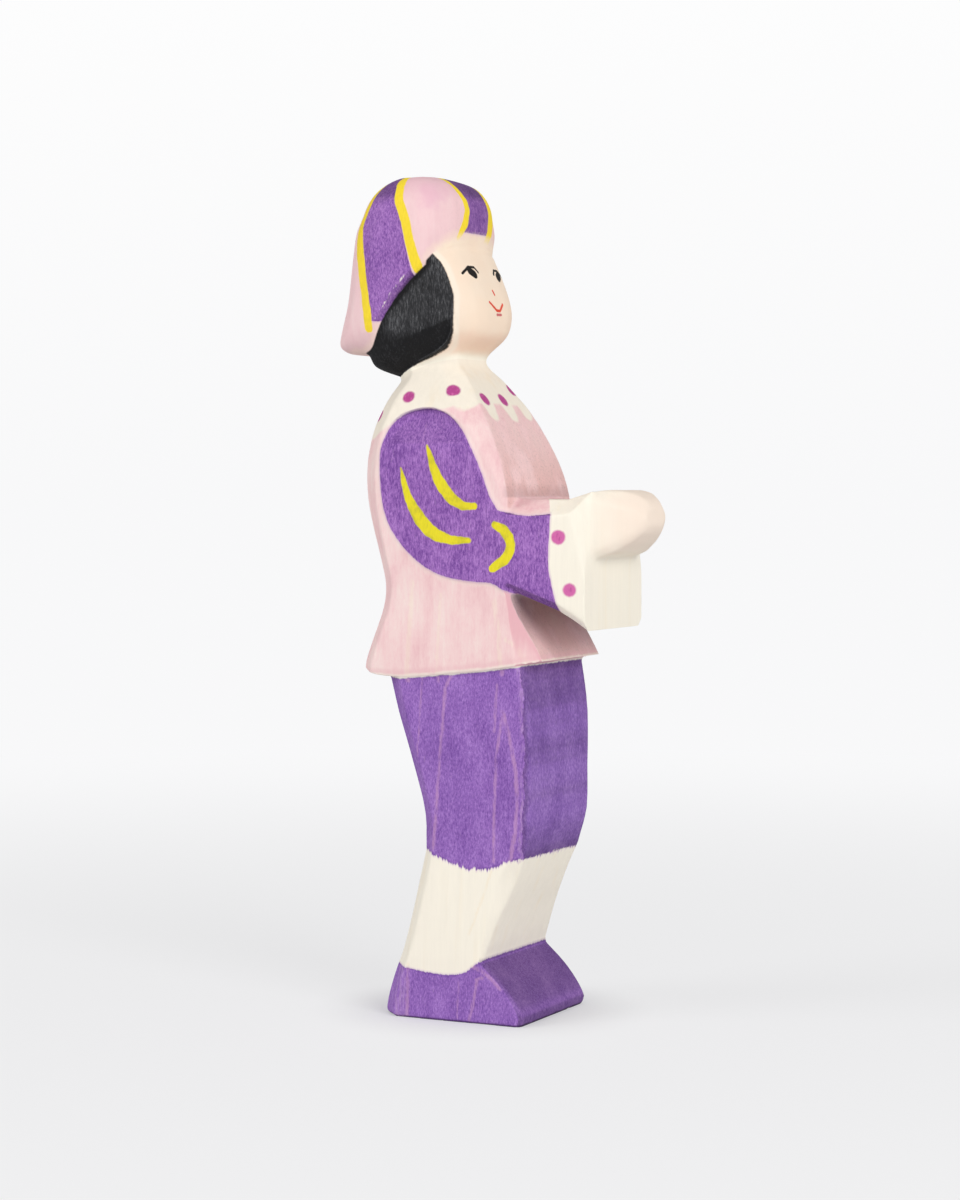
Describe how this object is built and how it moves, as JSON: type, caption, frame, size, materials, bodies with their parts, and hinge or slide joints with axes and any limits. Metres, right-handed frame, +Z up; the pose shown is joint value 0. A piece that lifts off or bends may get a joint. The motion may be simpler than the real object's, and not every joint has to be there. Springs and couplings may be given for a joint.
{
  "type": "wooden figurine",
  "caption": "Small standing doll whittled from a solid wooden block, hands held out in front, in a striped soft hat, flared jacket, knee breeches, stockings and shoes, in thin stains.",
  "frame": {"origin": "middle of the sole, on the surface that the figurine stands on", "axes": "+Z up; the figurine faces -Y; +X towards its left hand, square to its plane of symmetry"},
  "size_m": [0.0232, 0.0499, 0.1247],
  "materials": {
    "shoes": "fine-grained wood in a thin matt purple stain, grain showing through",
    "stockings": "fine-grained wood in a thin matt cream wash",
    "breeches": "fine-grained wood in a thin matt purple stain, pale ring lines",
    "jacket": "fine-grained wood in a thin matt pale pink stain",
    "sleeves": "fine-grained wood in a thin matt purple stain with yellow strokes",
    "cuffs": "fine-grained wood in a thin matt cream wash with magenta dots",
    "hands": "fine-grained wood in a thin matt pale skin wash",
    "collar": "fine-grained wood in a thin matt cream wash with magenta dots",
    "face": "fine-grained wood in a thin matt pale skin wash, features drawn in ink",
    "hair": "fine-grained wood in a thin matt black stain, grain scratches",
    "hat": "fine-grained wood in a thin matt pale pink stain with purple bands edged in yellow"
  },
  "bodies": {
    "root": {"shoes": "shoes", "stockings": "stockings", "breeches": "breeches", "jacket": "jacket", "sleeve_right": "sleeves", "sleeve_left": "sleeves", "cuffs": "cuffs", "hands": "hands", "collar": "collar", "head": "face", "hair": "hair", "hat": "hat"}
  },
  "joints": []
}
